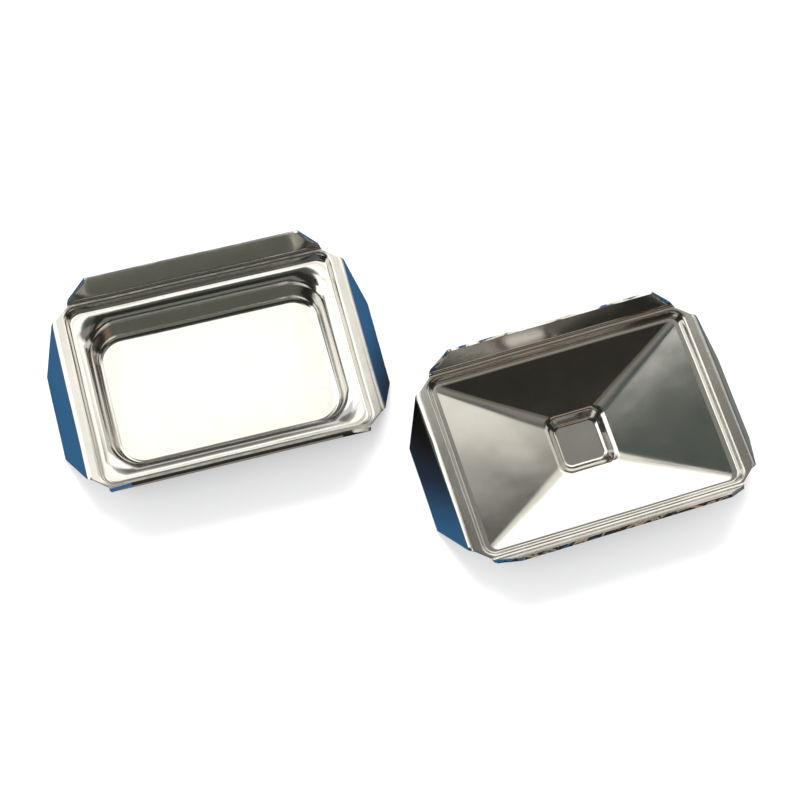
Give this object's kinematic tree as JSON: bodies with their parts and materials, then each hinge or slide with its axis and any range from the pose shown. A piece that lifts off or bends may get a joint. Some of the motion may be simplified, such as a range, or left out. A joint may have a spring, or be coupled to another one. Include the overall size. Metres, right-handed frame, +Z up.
{
  "type": "tissue embedding base moulds",
  "caption": "Shallow pressed stainless-steel embedding moulds with flared flaps and a recessed cassette seat, over a rounded-rectangular well or a pyramid funnel with a square cup.",
  "frame": {"origin": "centre of the underside of the rectangular tray's well, on the surface both trays stand on", "axes": "+Z up, +X along the rectangular tray's long side towards the pyramid tray, +Y across it, away from the side the trays are looked at from"},
  "size_m": [0.1047, 0.0599, 0.0117],
  "materials": {
    "steel": "polished pressed sheet, faint grain and handling scratches"
  },
  "bodies": {
    "rectangular_tray": {"rectangular_well_tray": "steel"},
    "pyramid_tray": {"pyramid_well_tray": "steel"}
  },
  "joints": [
    {"name": "pyramid_tray_lift", "type": "slide", "parent": "rectangular_tray", "child": "pyramid_tray", "axis": [0, 0, 1], "range_m": [0, 0.06]}
  ]
}
